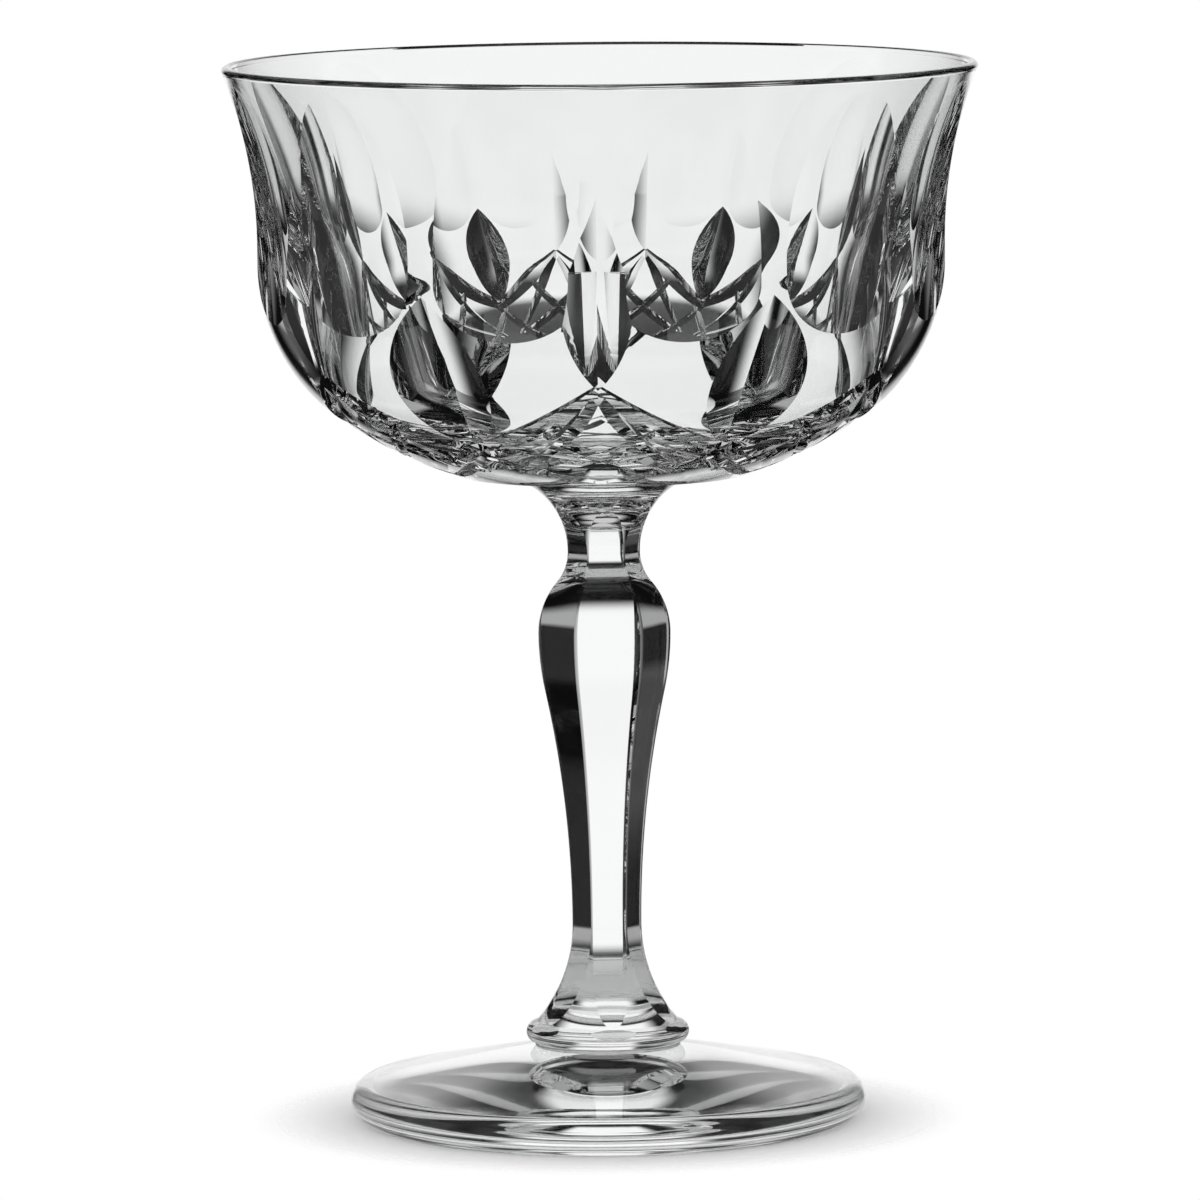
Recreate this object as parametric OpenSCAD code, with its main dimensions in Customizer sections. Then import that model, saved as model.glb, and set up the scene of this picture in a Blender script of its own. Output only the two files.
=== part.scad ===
// Coupe glass with a cut bowl, a six-sided baluster stem and a round foot.
// The origin is the centre of the ring that the foot rests on, with +Z up and the front at -Y.

/* [Bowl] */
// Height of the bowl above the seam with the stem
bowl_h = 58.8; // [55:0.1:66]
// Outer radius of the rim
rim_r = 50; // [48:0.1:54]
// Thickness of the glass at the rim
rim_t = 1.4; // [1.2:0.1:2]
// How far the waist, where the wall stands upright, lies inside the rim
waist_in = 4.5; // [3.5:0.1:6]
// Height of the waist above the seam
waist_h = 35; // [34:0.1:38]
// Height above the seam of the lowest point of the ball that shapes the underside
belly_base = 1.2; // [0.8:0.1:1.6]
// How far below the waist the wall starts to bend inwards
bend_drop = 2.4; // [2:0.1:4]
// Radius of that bend, as a share of its height above the lowest point of the ball
bend_share = 0.796; // [0.72:0.004:0.82]

/* [Inside of the bowl] */
// Thickness of the wall at the waist
waist_t = 2.9; // [2.6:0.1:3.4]
// How much higher than the waist the inner wall starts to bend inwards
inner_lift = 2; // [1.4:0.1:3.4]
// Thickness of the glass in the middle of the bowl, above the lowest point of the outer ball
floor_t = 10; // [8:0.1:11]
// Radius of the inner bend, as a share of its height above the cup's lowest point
inner_bend_share = 0.853; // [0.8:0.003:0.88]

/* [Panels, leaves and wedges] */
// Number of leaves round the bowl, with as many wedges between them
leaf_n = 6; // [5:1:6]
// How far the middle of a panel lies inside the round skin of the bowl
panel_sink = 1.1; // [0.8:0.1:1.3]
// Distance below the rim at which the panels fade out
panel_fade = 2; // [1.6:0.1:6]
// Angle below level at which a panel runs off the bend in a straight line
panel_run = 42; // [38:1:46]
// Height of a leaf's upper tip above the seam
leaf_top = 44.2; // [43:0.1:45.4]
// Height of a leaf's lower tip above the seam
leaf_foot = 18.9; // [18:0.1:19.6]
// Lean from upright of the upper stretch of a leaf's bottom line
leaf_lean = 13; // [11:0.5:15]
// Height above the seam at which that line turns upright, to bend inwards from there
leaf_turn_h = 34.5; // [33:0.1:36]
// Slope of a leaf's two faces
leaf_slope = 16; // [13:1:22]
// Height of a wedge's peak above the seam
wedge_top = 31; // [29.6:0.1:32]
// Height of a wedge's lower tip above the seam
wedge_foot = 10.4; // [9.8:0.1:11]
// Slope of a wedge's two faces
wedge_slope = 21; // [18:1:26]

/* [Mitre cuts under the bowl] */
// Depth of the long mitre cuts at their ends
mitre_depth = 0.3; // [0.2:0.05:0.5]
// Depth of the short star cuts at their ends
star_depth = 0.2; // [0.1:0.05:0.4]
// Half of the angle between the two faces of a cut
cut_flank = 38; // [34:1:50]
// Height above the seam at which two mitre cuts cross below a wedge
cross_h = 10.1; // [9.4:0.1:10.6]
// Height above the seam at which they cross again below a leaf
inner_cross_h = 5.1; // [4.8:0.1:5.6]

/* [Stem] */
// Height of the stem from the foot's seat to the seam with the bowl
stem_h = 71.6; // [64:0.1:80]
// Radius over the corners at the neck below the bowl
neck_r = 4.8; // [4.4:0.1:5.2]
// Depth of the neck below the seam
neck_drop = 6.1; // [5.6:0.1:6.6]
// Radius of the hollow curve from the neck to the underside of the bowl
collar_r = 10.5; // [10:0.1:11]
// Radius over the corners at the knop
knop_r = 8.8; // [8.2:0.1:9.4]
// Depth of the widest part of the knop below the seam
knop_drop = 17; // [16:0.1:19]
// Radius over the corners at the thinnest part
thin_r = 4.6; // [4.2:0.1:5]
// Height of the thinnest part above the foot's seat
thin_h = 15.6; // [14:0.1:18]
// Radius of the lip at the bottom of the stem
lip_r = 10.9; // [10.4:0.1:11.4]
// Height of the lip's widest part above the seat
lip_h = 1.1; // [0.9:0.1:1.4]

/* [Foot] */
// Outer radius of the foot
foot_r = 34.4; // [31:0.1:38]
// Height of the seat on which the stem stands
foot_h = 10.4; // [9.6:0.1:11.4]
// Radius of the seat
seat_r = 9.7; // [9.3:0.1:10]
// Height of the seat's straight side above the sloping top of the foot
seat_step = 0.7; // [0.5:0.1:1]
// Height of the foot's rounded edge
edge_h = 5; // [4.4:0.1:5.6]
// Height of the hollow under the foot
hollow_h = 1.6; // [1.2:0.1:2]
// Width of the flat ring that the foot rests on
rest_w = 2.2; // [1.6:0.1:3]

/* [Hidden] */
$fn = 120;
// Pieces in a full circle of any long arc
arc_fn = 720;
// Flat strips that stand for each arc of the panels and of the stem's flats
arc_steps = 6;
// Overrun of a cutting shape past the surface that it cuts
over = 1;
// Side faces of the stem
stem_sides = 6;
// Turn of the stem under the bowl, as it was set when the two were joined
stem_turn = 5.1;
// Share of the true corner radius that is left on the stem after its corners are softened
corner_share = 0.985;

// Outside of the bowl, with heights above the seam
waist_r = rim_r - waist_in;
lip_round = rim_t / 2;
brim_h = bowl_h - lip_round;
flare_r = arc_through(rim_r - waist_r, brim_h - waist_h);
bend_h = waist_h - bend_drop;
bend_r = bend_share * (bend_h - belly_base);
bend_x = waist_r - bend_r;
belly_r = ball_r(bend_x, bend_h - belly_base, bend_r);
belly_mid = belly_base + belly_r;
bend_end_h = belly_mid - belly_r * (belly_mid - bend_h) / (belly_r - bend_r);
// The flat ring round the collar lies a little below the top of the collar's hollow curve
ring_h = collar_r - neck_drop - 0.01 * collar_r;

// Inside of the bowl
inner_waist_r = waist_r - waist_t;
inner_waist_h = waist_h + inner_lift;
inner_flare_r = arc_through(rim_r - rim_t - inner_waist_r, brim_h - inner_waist_h);
inner_base = belly_base + floor_t;
inner_bend_r = inner_bend_share * (inner_waist_h - inner_base);
inner_bend_x = inner_waist_r - inner_bend_r;
inner_floor_r = ball_r(inner_bend_x, inner_waist_h - inner_base, inner_bend_r);
inner_mid = inner_base + inner_floor_r;
floor_end_h = inner_mid - inner_floor_r * (inner_mid - inner_waist_h) / (inner_floor_r - inner_bend_r);

// Share of the pitch by which a long mitre cut runs past the place where it crosses another
cross_share = 0.04;
// Height at which the last star cut starts, as a share of the way from a crossing up to a leaf
side_share = 0.4;
// Turn of that start from the leaf, as a share of the pitch
side_turn_share = 0.22;
// Height at which the star cuts end, as a share of the way from the inner crossing up to the outer
meet_share = 0.3;
// Turn of that end from the leaf, as a share of the pitch
meet_turn_share = 0.4;

// Panels
pitch = 360 / leaf_n;
fade_h = bowl_h - panel_fade;
panel_r = waist_r - panel_sink;
panel_flare_r = arc_through(skin(fade_h) - panel_r, fade_h - waist_h);

// Stem, with heights above the foot's seat
neck_h = stem_h - neck_drop;
knop_h = stem_h - knop_drop;
seam_r = neck_r + collar_r - leg(collar_r, neck_drop);
flat_share = cos(180 / stem_sides) / corner_share;
// Share of each double curve's length that its hollow part takes
neck_hollow_share = 0.38;
taper_hollow_share = 0.8;
// The flats fade into the round ends this far from them
top_fade = 0.3;
lip_fade = 1.6;
lip_round_r = 1.2 * lip_h;
foot_arc_r = arc_through(lip_r - thin_r, thin_h - lip_h);
lip_fade_h = lip_h + lip_fade;
lip_fade_r = thin_r + foot_arc_r - leg(foot_arc_r, thin_h - lip_fade_h);
flat_foot_arc_r = arc_through(lip_fade_r - thin_r * flat_share, thin_h - lip_fade_h);
top_fade_r = neck_r + collar_r - leg(collar_r, neck_drop - top_fade);
flat_top_arc_r = arc_through(top_fade_r - neck_r * flat_share, neck_drop - top_fade);

// Foot
edge_r = 0.54 * edge_h;
edge_x = foot_r - edge_r;
edge_mid_h = 0.5 * edge_h;
rest_r = edge_x + leg(edge_r, edge_mid_h) - rest_w;
hollow_r = arc_through(hollow_h, rest_r);

// Side of a right triangle with the given hypotenuse and other side
function leg(hyp, side) = sqrt(hyp * hyp - side * side);

// Radius of an arc that starts upright and moves sideways by dx over a height of dz
function arc_through(dx, dz) = (dx * dx + dz * dz) / (2 * dx);

// Radius of a ball on the axis that a bend runs smoothly into. The bend's centre is given by its
// radius from the axis and its height above the lowest point of the ball.
function ball_r(dx, dz, bend) = (dx * dx + dz * dz - bend * bend) / (2 * (dz - bend));

// Place on an arc, which is given as its centre's x and height, its radius and its first and last angle
function on_arc(arc, angle) = [arc[0] + arc[2] * cos(angle), arc[1] + arc[2] * sin(angle)];

function start_of(arc) = on_arc(arc, arc[3]);
function end_of(arc) = on_arc(arc, arc[4]);

// Places along an arc after its start
function along(arc) = [
    for (step = [1 : arc_steps])
        on_arc(arc, arc[3] + (arc[4] - arc[3]) * step / arc_steps)
];

// Radius of the bowl's round skin at a height above the seam
function skin(h) =
    h > waist_h ? waist_r + flare_r - leg(flare_r, h - waist_h)
    : h > bend_h ? waist_r
    : h > bend_end_h ? bend_x + leg(bend_r, bend_h - h)
    : leg(belly_r, belly_mid - h);

// Radius of the cup at a height above the seam, at the end of its floor
function skin_in(h) = leg(inner_floor_r, inner_mid - h);

function unit(v) = v / norm(v);

// Place on the skin at a height and a turn from a leaf, moved towards the middle of the belly ball
function under_skin(h, turn, sink) =
    let (
        place = [skin(h) * cos(turn), skin(h) * sin(turn), h],
        middle = [0, 0, belly_mid]
    )
    place - sink * unit(place - middle);

// Outline from the axis to the far side of a circle, for a swelling curve between two heights
module swell(x, h, r, from, to) {
    intersection() {
        translate([0, from])
            square([x + r + over, to - from]);
        translate([x, h])
            circle(r, $fn = arc_fn);
    }
}

// Near side of a circle, to be cut away for a hollow curve between two heights
module scoop(x, h, r, from, to) {
    intersection() {
        translate([0, from])
            square([x, to - from]);
        translate([x, h])
            circle(r, $fn = arc_fn);
    }
}

// Body with flat sides, whose middles lie on the given half outline
module many_sided(sides) {
    rotate_extrude($fn = sides)
        scale([1 / cos(180 / sides), 1])
            children();
}

// Half outline of the cup that the bowl holds
module cup_outline() {
    difference() {
        union() {
            polygon([
                [0, floor_end_h],
                [skin_in(floor_end_h), floor_end_h],
                [inner_waist_r, inner_waist_h],
                [rim_r - rim_t, brim_h],
                [rim_r - rim_t, bowl_h + over],
                [0, bowl_h + over]
            ]);
            swell(0, inner_mid, inner_floor_r, inner_mid - inner_floor_r - over, floor_end_h + over);
            swell(inner_bend_x, inner_waist_h, inner_bend_r, floor_end_h, inner_waist_h);
        }
        scoop(inner_waist_r + inner_flare_r, inner_waist_h, inner_flare_r, inner_waist_h, brim_h);
    }
}

// Half outline of the bowl before any cut, up to the rounded lip
module bowl_outline() {
    difference() {
        union() {
            polygon([
                [0, 0],
                [seam_r, 0],
                [neck_r + collar_r - leg(collar_r, ring_h + neck_drop), ring_h],
                [skin(ring_h), ring_h],
                [skin(bend_end_h), bend_end_h],
                [waist_r, bend_h],
                [waist_r, waist_h],
                [rim_r, brim_h],
                [0, brim_h]
            ]);
            swell(0, belly_mid, belly_r, ring_h, bend_end_h);
            swell(bend_x, bend_h, bend_r, bend_end_h, bend_h);
        }
        scoop(neck_r + collar_r, -neck_drop, collar_r, 0, ring_h);
        scoop(waist_r + flare_r, waist_h, flare_r, waist_h, brim_h);
        cup_outline();
    }
    intersection() {
        translate([rim_r - lip_round, brim_h])
            circle(lip_round);
        translate([0, brim_h - lip_round / 4])
            square([rim_r, rim_t]);
    }
}

// Half outline through the middle of a panel, which leaves the round skin above and below
module panel_outline() {
    bend = [panel_r - bend_r, bend_h, bend_r, -panel_run, 0];
    flare_turn = asin((bowl_h + over - waist_h) / panel_flare_r);
    flare = [panel_r + panel_flare_r, waist_h, panel_flare_r, 180, 180 - flare_turn];
    run_end = start_of(bend);
    polygon([
        [0, -over],
        [run_end.x - (run_end.y + over) * tan(panel_run), -over],
        run_end,
        each along(bend),
        start_of(flare),
        each along(flare),
        [0, bowl_h + over]
    ]);
}

// Outline of a V edge that points at the axis, with its tip at a distance from it
module v_edge(height, slope, tip = 0) {
    polygon([
        [tip, 0],
        [tip + height, -height / tan(slope)],
        [tip + height, height / tan(slope)]
    ]);
}

// A V edge that runs straight down the +X side and then round a bend, which cuts one leaf
module leaf_cutter() {
    lean_h = leaf_top - leaf_turn_h;
    bend_high = leaf_turn_h - leaf_foot;
    turn_x = skin(leaf_top) - lean_h * tan(leaf_lean);
    leaf_bend_r = arc_through(turn_x - skin(leaf_foot), bend_high);
    bend_turn = asin((bend_high + over) / leaf_bend_r);
    cutter_h = (leaf_top - leaf_foot) / 5;
    translate([turn_x, 0, leaf_turn_h])
        rotate([0, leaf_lean, 0])
            linear_extrude(height = lean_h / cos(leaf_lean) + over)
                v_edge(cutter_h, leaf_slope);
    translate([turn_x - leaf_bend_r, 0, leaf_turn_h])
        rotate([90, 0, 0])
            rotate([0, 0, -bend_turn])
                rotate_extrude(angle = bend_turn)
                    v_edge(cutter_h, leaf_slope, leaf_bend_r);
}

// Straight bar with a V edge, which cuts one wedge down the +X side
module wedge_cutter() {
    top = [skin(wedge_top), wedge_top];
    foot = [skin(wedge_foot), wedge_foot];
    chord = norm(top - foot);
    lean = atan2(top.x - foot.x, top.y - foot.y);
    translate([foot.x, 0, foot.y])
        rotate([0, lean, 0])
            translate([0, 0, -over])
                linear_extrude(height = chord + 2 * over)
                    v_edge(chord / 3, wedge_slope);
}

// Straight bar with a V edge, whose bottom line joins two places just under the skin
module mitre_cutter(from, to) {
    along = unit(to - from);
    rise = (from + to) / 2 - [0, 0, belly_mid];
    out = unit(rise - (rise * along) * along);
    side = cross(along, out);
    multmatrix([
        [out.x, side.x, along.x, from.x],
        [out.y, side.y, along.y, from.y],
        [out.z, side.z, along.z, from.z]
    ])
        linear_extrude(height = norm(to - from))
            v_edge(norm(to - from) / 7, 90 - cut_flank);
}

// The cuts that start below one leaf, on one side of it
module mitre_group() {
    side_h = cross_h + side_share * (leaf_foot - cross_h);
    meet_h = inner_cross_h + meet_share * (cross_h - inner_cross_h);
    mitre_cutter(under_skin(leaf_foot, 0, mitre_depth),
                 under_skin(cross_h, (0.5 + cross_share) * pitch, mitre_depth));
    mitre_cutter(under_skin(cross_h, (0.5 - cross_share) * pitch, mitre_depth),
                 under_skin(inner_cross_h, (1 + cross_share) * pitch, mitre_depth));
    mitre_cutter(under_skin(leaf_foot, 0, star_depth),
                 under_skin(meet_h, (meet_turn_share + cross_share / 2) * pitch, star_depth));
    mitre_cutter(under_skin(side_h, -side_turn_share * pitch, star_depth),
                 under_skin(meet_h, (meet_turn_share - cross_share / 2) * pitch, star_depth));
}

module bowl() {
    color("aliceblue")
    translate([0, 0, foot_h + stem_h])
        rotate([0, 0, -90])
            difference() {
                intersection() {
                    rotate_extrude()
                        bowl_outline();
                    many_sided(2 * leaf_n)
                        panel_outline();
                }
                for (i = [1 : leaf_n])
                    rotate([0, 0, i * pitch]) {
                        leaf_cutter();
                        rotate([0, 0, pitch / 2])
                            wedge_cutter();
                        mitre_group();
                        mirror([0, 1, 0])
                            mitre_group();
                    }
            }
}

// The arcs of the stem from its foot to its top, over its corners or over its flats
function stem_arcs(neck, knop, thin, foot_arc, top_arc, base, top) =
    let (
        neck_tilt = 2 * atan((knop - neck) / (neck_h - knop_h)),
        neck_sum = (neck_h - knop_h) / sin(neck_tilt),
        neck_hollow = neck_hollow_share * neck_sum,
        neck_round = neck_sum - neck_hollow,
        taper_tilt = 2 * atan((knop - thin) / (knop_h - thin_h)),
        taper_sum = (knop_h - thin_h) / sin(taper_tilt),
        taper_hollow = taper_hollow_share * taper_sum,
        taper_round = taper_sum - taper_hollow,
        foot_turn = asin((thin_h - base) / foot_arc),
        top_turn = asin((top - neck_h) / top_arc)
    )
    [
        [thin + foot_arc, thin_h, foot_arc, 180 + foot_turn, 180],
        [thin + taper_hollow, thin_h, taper_hollow, 180, 180 - taper_tilt],
        [knop - taper_round, knop_h, taper_round, -taper_tilt, 0],
        [knop - neck_round, knop_h, neck_round, 0, neck_tilt],
        [neck + neck_hollow, neck_h, neck_hollow, 180 + neck_tilt, 180],
        [neck + top_arc, neck_h, top_arc, 180, 180 - top_turn]
    ];

// Half outline of the stem with its round lip, over the corners
module corner_outline() {
    arcs = stem_arcs(neck_r, knop_r, thin_r, foot_arc_r, collar_r, lip_h, stem_h);
    hollows = [arcs[0], arcs[1], arcs[4], arcs[5]];
    difference() {
        union() {
            polygon([
                [0, 0],
                [lip_r - lip_round_r, 0],
                for (arc = arcs)
                    start_of(arc),
                end_of(arcs[5]),
                [0, stem_h]
            ]);
            for (arc = [arcs[2], arcs[3]])
                swell(arc[0], arc[1], arc[2], start_of(arc).y, end_of(arc).y);
        }
        for (arc = hollows)
            scoop(arc[0], arc[1], arc[2], start_of(arc).y, end_of(arc).y);
    }
    intersection() {
        translate([lip_r - lip_round_r, lip_h])
            circle(lip_round_r);
        square([lip_r, lip_h + lip_round_r]);
    }
}

// Half outline through the middle of a flat, which leaves the round outline at both ends
module flat_outline() {
    arcs = stem_arcs(neck_r * flat_share, knop_r * flat_share, thin_r * flat_share,
                     flat_foot_arc_r, flat_top_arc_r, -over, stem_h + over);
    polygon([
        [0, -over],
        start_of(arcs[0]),
        for (arc = arcs)
            each along(arc),
        [0, stem_h + over]
    ]);
}

module stem() {
    color("lightcyan")
    translate([0, 0, foot_h])
        rotate([0, 0, stem_turn])
            intersection() {
                rotate_extrude()
                    corner_outline();
                many_sided(stem_sides)
                    flat_outline();
            }
}

// Right half of the foot, before the part of its round edge below the table is cut away
module foot_outline() {
    polygon([
        [0, 0],
        [edge_x, 0],
        [edge_x, edge_h],
        [seat_r, foot_h - seat_step],
        [seat_r, foot_h],
        [0, foot_h]
    ]);
    translate([edge_x, edge_mid_h])
        circle(edge_r);
}

module foot() {
    color("azure")
    rotate_extrude()
        difference() {
            intersection() {
                foot_outline();
                square([foot_r + over, foot_h]);
            }
            translate([0, hollow_h - hollow_r])
                circle(hollow_r, $fn = 4 * arc_fn);
        }
}

bowl();
stem();
foot();
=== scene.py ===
# %% [markdown]
# A coupe glass in clear cut glass: a wide shallow bowl, a six-sided baluster stem and a round foot.
# Everything here is in metres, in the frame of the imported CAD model: the origin is under the middle of
# the foot, +Z is up and the front of the glass faces -Y. The CAD solids are true to size, but their
# panels and flats are made of narrow strips. Glass shows every strip as a line, so each of the three
# pieces is modelled again here with smooth curves. The outside keeps the sizes of the solids. The cup is
# a few millimetres deeper than in the solid, and the panels run straight down, as the picture shows.

# %% Load the frame
import math
import bpy
from mathutils import Matrix, Vector


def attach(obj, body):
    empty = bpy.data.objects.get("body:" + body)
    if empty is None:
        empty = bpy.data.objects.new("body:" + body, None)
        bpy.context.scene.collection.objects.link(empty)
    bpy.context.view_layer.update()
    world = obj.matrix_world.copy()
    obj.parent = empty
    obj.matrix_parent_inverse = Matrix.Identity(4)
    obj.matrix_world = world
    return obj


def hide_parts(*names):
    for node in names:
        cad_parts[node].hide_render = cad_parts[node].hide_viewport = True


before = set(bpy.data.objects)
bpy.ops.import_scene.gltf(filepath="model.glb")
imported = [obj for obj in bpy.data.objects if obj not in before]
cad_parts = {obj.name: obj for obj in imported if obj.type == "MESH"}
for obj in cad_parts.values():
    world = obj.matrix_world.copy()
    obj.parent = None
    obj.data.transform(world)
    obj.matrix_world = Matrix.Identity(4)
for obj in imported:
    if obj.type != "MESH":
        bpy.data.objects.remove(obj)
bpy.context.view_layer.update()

# %% [markdown]
# The sizes come first. On the outside they are the driving sizes of the CAD source, so that a curve here
# starts and ends where the same curve does in the solid. A maker of glass thinks in the same few
# numbers: the rim, the waist, the bend into the underside, the neck, the knop and the foot. The cup's
# inside is given by how far its wall leans at three heights and by the round of its floor.

# %% Sizes of the bowl
MM = 0.001
bowl_h = 58.8 * MM
rim_r = 50 * MM
rim_t = 1.4 * MM
waist_in = 4.5 * MM
waist_h = 35 * MM
belly_base = 1.2 * MM
bend_drop = 2.4 * MM
bend_share = 0.796
ring_share = 0.99
bowl_steps = 300
rim_lean = math.radians(22)
wall_lean = math.radians(14.5)
wall_turn_h = 43 * MM
wall_low_lean = math.radians(20)
wall_low_h = 19 * MM
inner_bend_r = 12 * MM
inner_bend_turn = math.radians(70)
print("bowl", round(bowl_h / MM, 1), "mm high and", round(2 * rim_r / MM, 1), "mm across")

# %% Sizes of the cuts
leaf_n = 6
panel_sink = 1.1 * MM
panel_fade = 2 * MM
leaf_top = 44.2 * MM
leaf_foot = 18.9 * MM
leaf_lean = math.radians(13)
leaf_turn_h = 34.5 * MM
leaf_slope = math.radians(16)
leaf_deep_parts = 5
wedge_top = 31 * MM
wedge_foot = 10.4 * MM
wedge_slope = math.radians(21)
wedge_deep_parts = 3
mitre_deep_times = 3
cross_h = 10.1 * MM
inner_cross_h = 5.1 * MM
cross_share = 0.04
side_share = 0.4
side_turn_share = 0.22
meet_share = 0.3
meet_turn_share = 0.4
over = 1 * MM
print(leaf_n, "leaves,", leaf_n, "wedges and", 2 * leaf_n, "panels")

# %% Sizes of the stem and the foot
stem_h = 71.6 * MM
stem_sides = 6
stem_turn = math.radians(5.1)
neck_r = 4.8 * MM
neck_drop = 6.1 * MM
collar_r = 10.5 * MM
knop_r = 8.8 * MM
knop_drop = 17 * MM
thin_r = 4.6 * MM
thin_h = 15.6 * MM
lip_r = 10.9 * MM
lip_h = 1.1 * MM
neck_hollow_share = 0.38
taper_hollow_share = 0.8
corner_share = 0.985
lip_round_share = 1.2
lip_over = math.radians(62)
stem_steps = 144
top_fade = 0.3 * MM
lip_fade = 1.6 * MM
foot_r = 34.4 * MM
foot_h = 10.4 * MM
seat_r = 9.7 * MM
seat_step = 0.7 * MM
edge_h = 5 * MM
hollow_h = 1.6 * MM
rest_w = 2.2 * MM
edge_share = 0.54
slope_parts = 16
foot_steps = 180
seam_h = foot_h + stem_h
print("height", round((seam_h + bowl_h) / MM, 1), "mm, foot", round(2 * foot_r / MM, 1), "mm across")

# %% [markdown]
# A turned profile is a chain of arcs. Each arc runs smoothly into the next, because both have the same
# tangent where they meet. A few small functions give the places along an arc, the radius of an arc that
# starts upright and moves sideways by a known amount, and the radius of a ball that a bend runs into. The
# steps are the degrees between two places: short ones on wide arcs, longer ones on small rounds.

# %% Arcs
hollow_step = 0.4
slow_step = 0.5
panel_step = 0.6
skin_step = 1
wheel_step = 1.2
bend_step = 1.5
neck_step = 2
collar_step = 2.5
lip_step = 3
least_gap = 0.001 * MM
weld_gap = 0.0001 * MM


def leg(hyp, side):
    return math.sqrt(hyp * hyp - side * side)


def arc_through(dx, dz):
    return (dx * dx + dz * dz) / (2 * dx)


def ball_r(dx, dz, bend):
    return (dx * dx + dz * dz - bend * bend) / (2 * (dz - bend))


def arc(x, z, r, start, end, turn_step):
    steps = max(1, round(abs(math.degrees(end - start)) / turn_step))
    turns = [start + (end - start) * step / steps for step in range(steps + 1)]
    return [(x + r * math.cos(turn), z + r * math.sin(turn)) for turn in turns]


def straight(start, end, parts):
    places = []
    for part in range(parts + 1):
        x = start[0] + (end[0] - start[0]) * part / parts
        z = start[1] + (end[1] - start[1]) * part / parts
        places.append((x, z))
    return places


def chain(*runs):
    places = []
    for run in runs:
        for place in run:
            if not places or math.dist(place, places[-1]) > least_gap:
                places.append(place)
    return places


print("a quarter circle in short steps has", len(arc(0, 0, 1, 0, math.pi / 2, skin_step)), "places")

# %% [markdown]
# Glass is turned, so every blank is a spun profile. By hand this is one vertex that is extruded from
# place to place down the profile and then spun about the upright axis. A lathe modifier would do the
# same, but the spin shows each step and can also make a body with six or twelve flat sides.

# %% Spin a profile
def start_piece(name, place):
    bpy.ops.object.select_all(action="DESELECT")
    bpy.ops.mesh.primitive_plane_add(size=MM, location=place)
    piece = bpy.context.object
    piece.name = name
    bpy.ops.object.transform_apply(location=True, rotation=True, scale=True)
    bpy.ops.object.mode_set(mode="EDIT")
    bpy.ops.mesh.select_all(action="SELECT")
    bpy.ops.mesh.merge(type="CENTER")
    return piece


def draw_chain(places):
    for near, far in zip(places, places[1:]):
        step = [b - a for a, b in zip(near, far)]
        bpy.ops.mesh.extrude_region_move(TRANSFORM_OT_translate={"value": step})


def close_piece():
    bpy.ops.mesh.select_all(action="SELECT")
    bpy.ops.mesh.remove_doubles(threshold=weld_gap)
    bpy.ops.mesh.normals_make_consistent(inside=False)
    bpy.ops.object.mode_set(mode="OBJECT")


def spun(name, profile, steps, reach=1.0, lift=0.0):
    places = [(reach * x, 0, z + lift) for x, z in profile]
    piece = start_piece(name, places[0])
    draw_chain(places)
    bpy.ops.mesh.select_all(action="SELECT")
    bpy.ops.mesh.spin(steps=steps, angle=2 * math.pi, center=(0, 0, 0), axis=(0, 0, 1))
    close_piece()
    print(name, "has", len(piece.data.polygons), "faces")
    return piece


def many_sided(name, profile, sides, lift):
    return spun(name, profile, sides, reach=1 / math.cos(math.pi / sides), lift=lift)


# %% [markdown]
# A cut is a boolean: the wheel takes glass away where it passes. The Manifold solver does it exactly
# and fast, and it takes a whole collection of wheels at once, as long as none of them overlap.

# %% Cut and fit
def use_boolean(piece, operation, others):
    group = bpy.data.collections.new(piece.name + "_" + operation.lower())
    for other in others:
        group.objects.link(other)
    bpy.ops.object.select_all(action="DESELECT")
    piece.select_set(True)
    bpy.context.view_layer.objects.active = piece
    modifier = piece.modifiers.new(operation, "BOOLEAN")
    modifier.operation = operation
    modifier.solver = "MANIFOLD"
    modifier.operand_type = "COLLECTION"
    modifier.collection = group
    bpy.ops.object.modifier_apply(modifier=modifier.name)
    for other in others:
        bpy.data.objects.remove(other)
    bpy.data.collections.remove(group)
    print(piece.name, operation.lower(), "gives", len(piece.data.polygons), "faces")


def turned_copies(piece, turns):
    copies = []
    for turn in turns:
        copy = piece.copy()
        copy.data = piece.data.copy()
        bpy.context.scene.collection.objects.link(copy)
        bpy.ops.object.select_all(action="DESELECT")
        copy.select_set(True)
        bpy.context.view_layer.objects.active = copy
        copy.rotation_euler.z = turn
        bpy.ops.object.transform_apply(location=True, rotation=True, scale=True)
        copies.append(copy)
    bpy.data.objects.remove(piece)
    return copies


def cut_round(piece, cutter, first_turn=0.0):
    turns = [first_turn + i * pitch for i in range(leaf_n)]
    use_boolean(piece, "DIFFERENCE", turned_copies(cutter, turns))


pitch = 2 * math.pi / leaf_n
print("each cut is repeated every", round(math.degrees(pitch)), "degrees")

# %% [markdown]
# The blank of the bowl has an outside and an inside profile that meet in the round lip. The wall stands
# upright at the waist, flares to the rim above it and bends into a ball-shaped underside below it. At
# the very bottom it draws in to the collar, where the stem was joined on.

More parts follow.
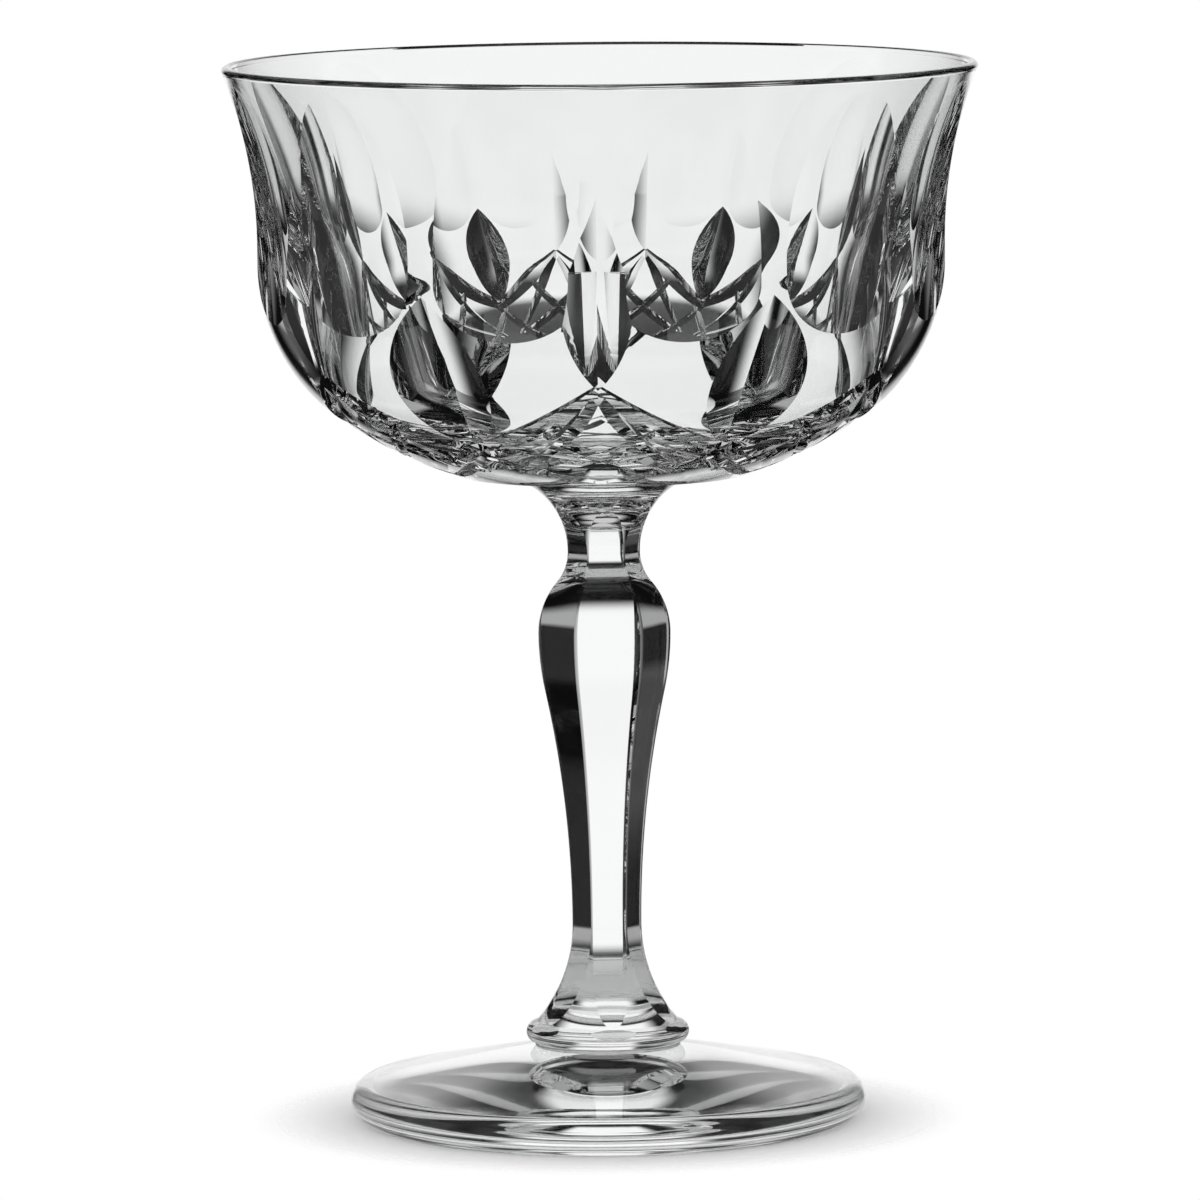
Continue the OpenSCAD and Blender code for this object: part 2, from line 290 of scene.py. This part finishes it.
# %% The bowl's blank
lip_round = rim_t / 2
brim_h = bowl_h - lip_round
waist_r = rim_r - waist_in
flare_r = arc_through(rim_r - waist_r, brim_h - waist_h)
bend_h = waist_h - bend_drop
bend_r = bend_share * (bend_h - belly_base)
bend_x = waist_r - bend_r
belly_r = ball_r(bend_x, bend_h - belly_base, bend_r)
belly_mid = belly_base + belly_r
bend_turn = math.atan2(belly_mid - bend_h, bend_x)
ring_h = ring_share * collar_r - neck_drop
ring_x = neck_r + collar_r - leg(collar_r, ring_h + neck_drop)
seam_r = neck_r + collar_r - leg(collar_r, neck_drop)
inner_flare_r = (brim_h - wall_turn_h) / (math.sin(rim_lean) - math.sin(wall_lean))
inner_flare_x = rim_r - rim_t + inner_flare_r * math.cos(rim_lean)
inner_flare_h = brim_h - inner_flare_r * math.sin(rim_lean)
wall_turn_x = inner_flare_x - inner_flare_r * math.cos(wall_lean)
wall_round_r = (wall_turn_h - wall_low_h) / (math.sin(wall_low_lean) - math.sin(wall_lean))
wall_round_x = wall_turn_x - wall_round_r * math.cos(wall_lean)
wall_round_h = wall_turn_h + wall_round_r * math.sin(wall_lean)
inner_bend_x = wall_round_x + (wall_round_r - inner_bend_r) * math.cos(wall_low_lean)
inner_bend_h = wall_round_h - (wall_round_r - inner_bend_r) * math.sin(wall_low_lean)
floor_r = inner_bend_r + inner_bend_x / math.cos(inner_bend_turn)
floor_mid = inner_bend_h + inner_bend_x * math.tan(inner_bend_turn)


def skin(h):
    if h > waist_h:
        return waist_r + flare_r - leg(flare_r, h - waist_h)
    if h > bend_h:
        return waist_r
    if h > belly_mid - belly_r * math.sin(bend_turn):
        return bend_x + leg(bend_r, bend_h - h)
    return leg(belly_r, belly_mid - h)


neck_x = neck_r + collar_r
ball_start = math.asin((belly_mid - ring_h) / belly_r)
bowl_profile = chain(
    straight((0, 0), (seam_r, 0), 4),
    arc(neck_x, -neck_drop, collar_r, math.pi - math.asin(neck_drop / collar_r),
        math.pi - math.asin((ring_h + neck_drop) / collar_r), collar_step),
    straight((ring_x, ring_h), (skin(ring_h), ring_h), 4),
    arc(0, belly_mid, belly_r, -ball_start, -bend_turn, skin_step),
    arc(bend_x, bend_h, bend_r, -bend_turn, 0, bend_step),
    straight((waist_r, bend_h), (waist_r, waist_h), 4),
    arc(waist_r + flare_r, waist_h, flare_r, math.pi,
        math.pi - math.asin((brim_h - waist_h) / flare_r), skin_step),
    arc(rim_r - lip_round, brim_h, lip_round, 0, math.pi, lip_step),
    arc(inner_flare_x, inner_flare_h, inner_flare_r, math.pi - rim_lean, math.pi - wall_lean, slow_step),
    arc(wall_round_x, wall_round_h, wall_round_r, -wall_lean, -wall_low_lean, slow_step),
    arc(inner_bend_x, inner_bend_h, inner_bend_r, -wall_low_lean, -inner_bend_turn, neck_step),
    arc(0, floor_mid, floor_r, -inner_bend_turn, -math.pi / 2, skin_step),
)
bowl = spun("cut_bowl", bowl_profile, bowl_steps, lift=seam_h)

# %% [markdown]
# Twelve upright panels come next. They are the flat sides of a body with twelve sides, whose middles
# lie a millimetre inside the round skin. The sides run straight down from the waist, so each panel ends
# in a round tongue where the bowl bends in below it. Near the lip the skin stays round too.

# %% Panels
fade_h = bowl_h - panel_fade
panel_r = waist_r - panel_sink
panel_flare_r = arc_through(skin(fade_h) - panel_r, fade_h - waist_h)
panel_profile = chain(
    [(0, -over), (panel_r, -over), (panel_r, waist_h)],
    arc(panel_r + panel_flare_r, waist_h, panel_flare_r, math.pi,
        math.pi - math.asin((bowl_h + over - waist_h) / panel_flare_r), panel_step),
    [(0, bowl_h + over)],
)
panels = many_sided("panels", panel_profile, 2 * leaf_n, seam_h)
use_boolean(bowl, "INTERSECT", [panels])

# %% [markdown]
# Every other cut is made by a wheel with a V edge. Where the wheel moves in a straight line it leaves
# a straight V, and where the glass is swung past it the V follows an arc. Both kinds of cutter start
# from the same three corners.

# %% Wheels
least_parts = 4


def v_face(name, tip, outward, sideways, height, slope):
    half_w = height / math.tan(slope)
    corners = [tip + height * outward + side * half_w * sideways for side in (-1, 1)]
    cutter = start_piece(name, tip)
    draw_chain([tip, *corners])
    bpy.ops.mesh.select_all(action="SELECT")
    bpy.ops.mesh.edge_face_add()
    return cutter


def v_bar(name, start, end, outward, height, slope):
    sideways = (end - start).normalized().cross(outward)
    cutter = v_face(name, start, outward, sideways, height, slope)
    bpy.ops.mesh.extrude_region_move(TRANSFORM_OT_translate={"value": end - start})
    close_piece()
    return cutter


def v_ring(name, start, centre, axis, angle, height, slope):
    outward = (start - centre).normalized()
    cutter = v_face(name, start, outward, axis, height, slope)
    steps = max(least_parts, round(math.degrees(angle) / wheel_step))
    bpy.ops.mesh.spin(steps=steps, angle=angle, center=centre, axis=axis)
    close_piece()
    return cutter


print("wheels ready")

# %% [markdown]
# A leaf is a long V on the ridge between two panels. Its bottom line leans in from the upper tip, turns
# upright and then bends in with the wall to the lower tip, so that the leaf is widest in the middle.

# %% Leaves
leaf_low = Vector((0, -skin(leaf_foot), seam_h + leaf_foot))
leaf_run = (leaf_top - leaf_turn_h) / math.cos(leaf_lean) + over
leaf_turn_x = skin(leaf_top) - (leaf_top - leaf_turn_h) * math.tan(leaf_lean)
leaf_bend_r = arc_through(leaf_turn_x + leaf_low.y, leaf_turn_h - leaf_foot)
leaf_bend = math.asin((leaf_turn_h - leaf_foot + over) / leaf_bend_r)
leaf_turn = Vector((0, -leaf_turn_x, seam_h + leaf_turn_h))
leaf_rise = Vector((0, -math.sin(leaf_lean), math.cos(leaf_lean)))
leaf_out = Vector((0, -math.cos(leaf_lean), -math.sin(leaf_lean)))
leaf_mid = leaf_turn + Vector((0, leaf_bend_r, 0))
leaf_deep = (leaf_top - leaf_foot) / leaf_deep_parts
leaf_end = leaf_turn + leaf_run * leaf_rise
upper_leaf = v_bar("upper_leaf", leaf_turn, leaf_end, leaf_out, leaf_deep, leaf_slope)
cut_round(bowl, upper_leaf)
leaf_axis = Vector((-1, 0, 0))
lower_leaf = v_ring("lower_leaf", leaf_turn, leaf_mid, leaf_axis, leaf_bend, leaf_deep, leaf_slope)
cut_round(bowl, lower_leaf)

# %% [markdown]
# A wedge is a deeper V that runs down over the bend of the bowl, between two leaves. Its wheel moves in
# a straight line.

# %% Wedges
wedge_tip = Vector((0, -skin(wedge_top), seam_h + wedge_top))
wedge_low = Vector((0, -skin(wedge_foot), seam_h + wedge_foot))
wedge_rise = (wedge_tip - wedge_low).normalized()
wedge_out = Vector((0, -wedge_rise.z, wedge_rise.y))
wedge_deep = (wedge_tip - wedge_low).length / wedge_deep_parts
wedge = v_bar("wedge", wedge_low - over * wedge_rise, wedge_tip + over * wedge_rise, wedge_out,
              wedge_deep, wedge_slope)
cut_round(bowl, wedge, pitch / 2)

# %% [markdown]
# Under the bowl, long mitres run in a zigzag between the leaves and the wedges, and finer ones cross
# them in a star. The glass is swung past the wheel, so each mitre keeps nearly the same depth and
# follows the skin from its start to its end.

# %% Mitres
near_share = 0.6
far_share = 1.2
halvings = 30
belly_centre = Vector((0, 0, seam_h + belly_mid))


def skin_place(h, turn):
    return Vector((skin(h) * math.sin(turn), -skin(h) * math.cos(turn), seam_h + h))


def skin_along(way):
    near, far = near_share * belly_r, far_share * belly_r
    for _ in range(halvings):
        middle = (near + far) / 2
        place = belly_centre + middle * way
        if math.hypot(place.x, place.y) < skin(place.z - seam_h):
            near = middle
        else:
            far = middle
    return belly_centre + near * way


def circle_centre(a, b, c):
    ab, ac = b - a, c - a
    normal = ab.cross(ac)
    return a + (normal.cross(ab) * ac.length_squared + ac.cross(normal) * ab.length_squared) / (
        2 * normal.length_squared)


def mitre(start, end, end_depth, depth, slope):
    start_way = (skin_place(*start) - belly_centre).normalized()
    end_way = (skin_place(*end) - belly_centre).normalized()
    mid_way = (start_way + end_way).normalized()
    a = skin_place(*start) - end_depth * start_way
    b = skin_place(*end) - end_depth * end_way
    centre = circle_centre(a, skin_along(mid_way) - depth * mid_way, b)
    axis = (b - centre).cross(a - centre).normalized()
    angle = (a - centre).angle(b - centre)
    cut_round(bowl, v_ring("mitre", a, centre, axis, angle, mitre_deep_times * depth, slope))


side_h = cross_h + side_share * (leaf_foot - cross_h)
meet_h = inner_cross_h + meet_share * (cross_h - inner_cross_h)
band = {"end_depth": 0.7 * MM, "depth": 1.1 * MM, "slope": math.radians(31)}
fine = {"end_depth": 0.35 * MM, "depth": 0.7 * MM, "slope": math.radians(33)}
for hand in (-1, 1):
    turn = hand * pitch
    mitre((leaf_foot, 0), (cross_h, (0.5 + cross_share) * turn), **band)
    mitre((cross_h, (0.5 - cross_share) * turn), (inner_cross_h, (1 + cross_share) * turn), **fine)
    mitre((leaf_foot, 0), (meet_h, (meet_turn_share + cross_share / 2) * turn), **fine)
    side = (side_h, -side_turn_share * turn)
    mitre(side, (meet_h, (meet_turn_share - cross_share / 2) * turn), **fine)

# %% [markdown]
# The stem is a round baluster first: the lip on the foot, a long taper up to the knop and a thin neck.
# Six flats are then ground along it. They leave a trace of the round skin on every corner, and they run
# out in the lip below and in the collar above.

# %% The stem's profile
neck_h = stem_h - neck_drop
knop_h = stem_h - knop_drop
foot_arc_r = arc_through(lip_r - thin_r, thin_h - lip_h)
lip_round_r = lip_round_share * lip_h
flat_share = math.cos(math.pi / stem_sides) / corner_share
lip_fade_h = lip_h + lip_fade
lip_fade_r = thin_r + foot_arc_r - leg(foot_arc_r, thin_h - lip_fade_h)
top_fade_r = neck_r + collar_r - leg(collar_r, neck_drop - top_fade)


def shaft(neck, knop, thin, foot_arc, top_arc, base, top):
    neck_tilt = 2 * math.atan((knop - neck) / (neck_h - knop_h))
    neck_sum = (neck_h - knop_h) / math.sin(neck_tilt)
    neck_hollow = neck_hollow_share * neck_sum
    neck_round = neck_sum - neck_hollow
    taper_tilt = 2 * math.atan((knop - thin) / (knop_h - thin_h))
    taper_sum = (knop_h - thin_h) / math.sin(taper_tilt)
    taper_hollow = taper_hollow_share * taper_sum
    taper_round = taper_sum - taper_hollow
    half = math.pi
    return chain(
        arc(thin + foot_arc, thin_h, foot_arc, half + math.asin((thin_h - base) / foot_arc), half,
            bend_step),
        arc(thin + taper_hollow, thin_h, taper_hollow, half, half - taper_tilt, slow_step),
        arc(knop - taper_round, knop_h, taper_round, -taper_tilt, 0, bend_step),
        arc(knop - neck_round, knop_h, neck_round, 0, neck_tilt, neck_step),
        arc(neck + neck_hollow, neck_h, neck_hollow, half + neck_tilt, half, neck_step),
        arc(neck + top_arc, neck_h, top_arc, half, half - math.asin((top - neck_h) / top_arc), neck_step),
    )


round_shaft = shaft(neck_r, knop_r, thin_r, foot_arc_r, collar_r, lip_h, stem_h)
lip_turn = math.asin(lip_h / lip_round_r)
stem_profile = chain(
    [(0, 0)],
    arc(lip_r - lip_round_r, lip_h, lip_round_r, -lip_turn, lip_over, lip_step),
    [place for place in round_shaft if place[1] > lip_h + lip_round_r],
    [(0, stem_h)],
)
stem = spun("cut_stem", stem_profile, stem_steps, lift=foot_h)

# %% Flats on the stem
flat_foot_arc_r = arc_through(lip_fade_r - thin_r * flat_share, thin_h - lip_fade_h)
flat_top_arc_r = arc_through(top_fade_r - neck_r * flat_share, neck_drop - top_fade)
flat_shaft = shaft(neck_r * flat_share, knop_r * flat_share, thin_r * flat_share,
                   flat_foot_arc_r, flat_top_arc_r, -over, stem_h + over)
flat_profile = chain([(0, -over)], flat_shaft, [(0, stem_h + over)])
flats = many_sided("flats", flat_profile, stem_sides, foot_h)
use_boolean(stem, "INTERSECT", [flats])
stem = turned_copies(stem, [stem_turn])[0]
stem.name = "cut_stem"

# %% [markdown]
# The foot is a pressed disc: a small raised seat for the stem, a top that slopes down to a fat rounded
# edge, and a shallow hollow underneath, so that the glass stands on a ring and doesn't rock.

# %% The foot
edge_r = edge_share * edge_h
edge_x = foot_r - edge_r
edge_mid = edge_h / 2
rest_out = edge_x + leg(edge_r, edge_mid)
rest_in = rest_out - rest_w
hollow_r = arc_through(hollow_h, rest_in)
edge_turn = math.asin(edge_mid / edge_r)
foot_profile = chain(
    arc(0, hollow_h - hollow_r, hollow_r, math.pi / 2, math.acos(rest_in / hollow_r), hollow_step),
    arc(edge_x, edge_mid, edge_r, -edge_turn, edge_turn, lip_step),
    straight((rest_out, edge_h), (seat_r, foot_h - seat_step), slope_parts),
    [(seat_r, foot_h), (0, foot_h)],
)
foot = spun("pressed_foot", foot_profile, foot_steps)

# %% [markdown]
# Clear glass is never quite even. The fire-polished skin has faint waves, which a shared group makes as
# a normal. A second group gives the roughness: almost none, but a little haze where the foot has been
# rubbed by tables, right at the bottom of the glass.

# %% Shared effects
bowl_waves = 60
stem_waves = 90
foot_waves = 40
wave_h = 0.01 * MM
worn_h = 0.6 * MM
worn_haze = 0.3
speck_scale = 900


def effect(name, inputs, output, output_kind):
    group = bpy.data.node_groups.new(name, "ShaderNodeTree")
    for label, value in inputs.items():
        socket = group.interface.new_socket(label, in_out="INPUT", socket_type="NodeSocketFloat")
        socket.default_value = value
    group.interface.new_socket(output, in_out="OUTPUT", socket_type=output_kind)
    return group, group.nodes.new("NodeGroupInput"), group.nodes.new("NodeGroupOutput")


wave_inputs = {"Scale": bowl_waves, "Height": wave_h}
waves, given, made = effect("faint_waves", wave_inputs, "Normal", "NodeSocketVector")
where = waves.nodes.new("ShaderNodeTexCoord")
noise = waves.nodes.new("ShaderNodeTexNoise")
noise.inputs["Detail"].default_value = 1.0
bump = waves.nodes.new("ShaderNodeBump")
waves.links.new(where.outputs["Object"], noise.inputs["Vector"])
waves.links.new(given.outputs["Scale"], noise.inputs["Scale"])
waves.links.new(noise.outputs["Fac"], bump.inputs["Height"])
waves.links.new(given.outputs["Height"], bump.inputs["Distance"])
waves.links.new(bump.outputs["Normal"], made.inputs["Normal"])

wear_inputs = {"Top": worn_h, "Haze": worn_haze}
wear, given, made = effect("table_wear", wear_inputs, "Roughness", "NodeSocketFloat")
where = wear.nodes.new("ShaderNodeTexCoord")
split = wear.nodes.new("ShaderNodeSeparateXYZ")
reach = wear.nodes.new("ShaderNodeMapRange")
specks = wear.nodes.new("ShaderNodeTexNoise")
specks.inputs["Scale"].default_value = speck_scale
patchy = wear.nodes.new("ShaderNodeMath")
patchy.operation = "MULTIPLY"
wear.links.new(where.outputs["Object"], split.inputs[0])
wear.links.new(where.outputs["Object"], specks.inputs["Vector"])
wear.links.new(split.outputs["Z"], reach.inputs["Value"])
wear.links.new(given.outputs["Top"], reach.inputs["From Max"])
wear.links.new(given.outputs["Haze"], reach.inputs["To Min"])
reach.inputs["To Max"].default_value = 0.0
wear.links.new(reach.outputs["Result"], patchy.inputs[0])
wear.links.new(specks.outputs["Fac"], patchy.inputs[1])
wear.links.new(patchy.outputs[0], made.inputs["Roughness"])
print("shared effects:", [group.name for group in (waves, wear)])

# %% [markdown]
# The pieces touch at two flat faces. In the real glass they are fused there and light goes straight
# through. Two glass faces on top of each other would bend and mirror the light, so these faces get a
# material of their own that is fully clear.

# %% Glass
glass_colour = (0.985, 0.99, 0.99, 1)
glass_ior = 1.54


def use_effect(material, group, socket, **values):
    node = material.node_tree.nodes.new("ShaderNodeGroup")
    node.node_tree = group
    for name, value in values.items():
        node.inputs[name].default_value = value
    shader = material.node_tree.nodes["Principled BSDF"]
    material.node_tree.links.new(node.outputs[0], shader.inputs[socket])


def glass(name, wave_scale):
    material = bpy.data.materials.new(name)
    material.use_nodes = True
    shader = material.node_tree.nodes["Principled BSDF"]
    shader.inputs["Base Color"].default_value = glass_colour
    shader.inputs["IOR"].default_value = glass_ior
    shader.inputs["Transmission Weight"].default_value = 1.0
    use_effect(material, waves, "Normal", Scale=wave_scale)
    use_effect(material, wear, "Roughness")
    return material


clear_seam = glass("clear_seam", bowl_waves)
clear_seam.node_tree.nodes["Principled BSDF"].inputs["Alpha"].default_value = 0.0
bowl_glass = glass("bowl_glass", bowl_waves)
stem_glass = glass("stem_glass", stem_waves)
foot_glass = glass("foot_glass", foot_waves)
print("materials:", [material.name for material in (bowl_glass, stem_glass, foot_glass, clear_seam)])

# %% [markdown]
# Each piece now takes the place of its CAD solid. Edges that turn by more than a few degrees stay
# crisp, as they do on a wheel-cut glass, and everything below that is shaded smooth.

# %% Finish of the meshes
crisp_turn = math.radians(4)
seam_gap = 0.01 * MM
nearly_level = 0.99


def on_seam(face, seams):
    level = abs(face.normal.z) > nearly_level
    return level and any(abs(face.center.z - seam) < seam_gap for seam in seams)


def finish_piece(piece, material, seams, node):
    bpy.ops.object.select_all(action="DESELECT")
    piece.select_set(True)
    bpy.context.view_layer.objects.active = piece
    bpy.ops.object.shade_smooth_by_angle(angle=crisp_turn)
    piece.data.materials.clear()
    piece.data.materials.append(material)
    piece.data.materials.append(clear_seam)
    for face in piece.data.polygons:
        if on_seam(face, seams):
            face.material_index = 1
    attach(piece, "root")
    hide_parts(node)
    print(piece.name, len(piece.data.loop_triangles), "triangles")


finish_piece(bowl, bowl_glass, [seam_h], "bowl")
finish_piece(stem, stem_glass, [seam_h, foot_h], "stem")
finish_piece(foot, foot_glass, [foot_h], "foot")

# %% [markdown]
# The glass stands on a plain pale sheet that fades into the white of the studio. Its paint has a faint
# grain.

# %% Floor
floor_sides = 96
sheet_r = 1.2
grain_scale = 300
pale = (0.94, 0.94, 0.94, 1)
paler = (0.96, 0.96, 0.96, 1)
fade_start = 36 * MM
fade_end = 48 * MM
bpy.ops.object.select_all(action="DESELECT")
bpy.ops.mesh.primitive_circle_add(vertices=floor_sides, radius=sheet_r, fill_type="NGON", location=(0, 0, 0))
floor = bpy.context.object
floor.name = "floor"
floor_paint = bpy.data.materials.new("floor_paint")
floor_paint.use_nodes = True
nodes = floor_paint.node_tree.nodes
links = floor_paint.node_tree.links
shader = nodes["Principled BSDF"]
shader.inputs["Roughness"].default_value = 1.0
where = nodes.new("ShaderNodeTexCoord")
grain = nodes.new("ShaderNodeTexNoise")
grain.inputs["Scale"].default_value = grain_scale
tone = nodes.new("ShaderNodeMix")
tone.data_type = "RGBA"
tone.inputs["A"].default_value = pale
tone.inputs["B"].default_value = paler
far = nodes.new("ShaderNodeVectorMath")
far.operation = "LENGTH"
fade = nodes.new("ShaderNodeMapRange")
fade.interpolation_type = "SMOOTHSTEP"
fade.inputs["From Min"].default_value = fade_start
fade.inputs["From Max"].default_value = fade_end
fade.inputs["To Min"].default_value = 1.0
fade.inputs["To Max"].default_value = 0.0
links.new(where.outputs["Object"], grain.inputs["Vector"])
links.new(grain.outputs["Fac"], tone.inputs["Factor"])
links.new(tone.outputs["Result"], shader.inputs["Base Color"])
links.new(where.outputs["Object"], far.inputs[0])
links.new(far.outputs["Value"], fade.inputs["Value"])
links.new(fade.outputs["Result"], shader.inputs["Alpha"])
floor.data.materials.append(floor_paint)
print("floor fades out", round(fade_end / MM), "mm from the middle")

# %% [markdown]
# Clear glass is drawn by what stands round it. A white card behind it lights the body of the glass, and
# the dark studio beside, above and below the card draws the edges and the cuts. Dimmer cards stand at the
# sides, in front and on the diagonals, so that the glass also looks clear from there. The two diagonal
# cards at the back are low ones. The camera itself and the floor see plain white.

# %% World
DEG = math.pi / 180
card_edge = 12 * DEG
card_end = 20 * DEG
top_edge = 22 * DEG
top_end = 30 * DEG
foot_edge = -18 * DEG
foot_end = -27 * DEG
low_edge = -13 * DEG
low_end = -10 * DEG
diagonal = 45 * DEG
overhead_start = 60 * DEG
overhead_end = 75 * DEG
overhead_level = 0.6
dim_level = 0.4
dark_level = 0.004
world = bpy.data.worlds.new("studio")
bpy.context.scene.world = world
world.use_nodes = True
nodes = world.node_tree.nodes
links = world.node_tree.links
background = nodes["Background"]
background.inputs["Color"].default_value = (1, 1, 1, 1)
direction = nodes.new("ShaderNodeTexCoord")
split = nodes.new("ShaderNodeSeparateXYZ")
links.new(direction.outputs["Generated"], split.inputs[0])


def maths(operation, first, second=None):
    node = nodes.new("ShaderNodeMath")
    node.operation = operation
    for socket, value in zip(node.inputs, (first, second)):
        if value is None:
            continue
        if isinstance(value, (int, float)):
            socket.default_value = value
        else:
            links.new(value, socket)
    return node.outputs[0]


def soft_step(value, low, high, start, end):
    node = nodes.new("ShaderNodeMapRange")
    node.interpolation_type = "SMOOTHSTEP"
    for name, given in zip(("From Min", "From Max", "To Min", "To Max"), (low, high, start, end)):
        node.inputs[name].default_value = given
    links.new(value, node.inputs["Value"])
    return node.outputs[0]


azimuth = maths("ABSOLUTE", maths("ARCTAN2", split.outputs["X"], split.outputs["Y"]))
height = maths("ARCSINE", split.outputs["Z"])


def card_at(away):
    return soft_step(away, card_edge, card_end, 1, 0)


back_card = card_at(azimuth)
square_cards = card_at(maths("PINGPONG", azimuth, diagonal))
front_diagonals = card_at(maths("ABSOLUTE", maths("SUBTRACT", azimuth, 3 * diagonal)))
back_diagonals = card_at(maths("ABSOLUTE", maths("SUBTRACT", azimuth, diagonal)))
low_part = soft_step(height, low_edge, low_end, 1, 0)
low_diagonals = maths("MULTIPLY", back_diagonals, low_part)
other_cards = maths("ADD", maths("ADD", square_cards, front_diagonals), low_diagonals)
dim_cards = maths("MULTIPLY", other_cards, dim_level)
cards = maths("MAXIMUM", back_card, dim_cards)
card_top = soft_step(height, top_edge, top_end, 1, 0)
card_foot = soft_step(height, foot_end, foot_edge, 0, 1)
card = maths("MULTIPLY", maths("MULTIPLY", cards, card_top), card_foot)
overhead = soft_step(height, overhead_start, overhead_end, 0, overhead_level)
studio = maths("ADD", maths("ADD", card, overhead), dark_level)
path = nodes.new("ShaderNodeLightPath")
plain = maths("MAXIMUM", path.outputs["Is Camera Ray"], path.outputs["Diffuse Depth"])
seen = maths("MINIMUM", plain, 1.0)
level = maths("ADD", maths("MULTIPLY", studio, maths("SUBTRACT", 1.0, seen)), seen)
links.new(level, background.inputs["Strength"])
print("world has", len(nodes), "nodes")

# %% [markdown]
# The camera looks down on the glass by some six degrees, from a metre and a third away. The picture was
# taken with a long lens, so the rim is a narrow ellipse.

# %% Camera
photo_px = 1200
lens_px = 9842
film_w = 36
cam_data = bpy.data.cameras.new("camera")
cam_data.sensor_width = film_w
cam_data.lens = lens_px / photo_px * cam_data.sensor_width
camera = bpy.data.objects.new("camera", cam_data)
bpy.context.scene.collection.objects.link(camera)
bpy.context.scene.camera = camera
cam_turn = math.radians(0.8)
cam_side = -0.55 * MM
cam_far = 1.3
cam_h = 0.2149
cam_down = math.radians(6.39)
cam_roll = math.radians(-0.5)
camera.location = (cam_far * math.sin(cam_turn) + cam_side * math.cos(cam_turn),
                   -cam_far * math.cos(cam_turn) + cam_side * math.sin(cam_turn), cam_h)
aim = Matrix.Rotation(cam_turn, 4, "Z") @ Matrix.Rotation(math.pi / 2 - cam_down, 4, "X")
camera.rotation_euler = (aim @ Matrix.Rotation(cam_roll, 4, "Z")).to_euler()
print("camera", [round(c, 3) for c in camera.location], "m")

# %% [markdown]
# Light passes many faces on its way through cut glass, so the paths may be long.

# %% Finish
long_path = 32
short_path = 16
scene = bpy.context.scene
scene.view_settings.view_transform = "Standard"
scene.cycles.max_bounces = long_path
scene.cycles.transmission_bounces = long_path
scene.cycles.glossy_bounces = short_path
scene.cycles.transparent_max_bounces = short_path
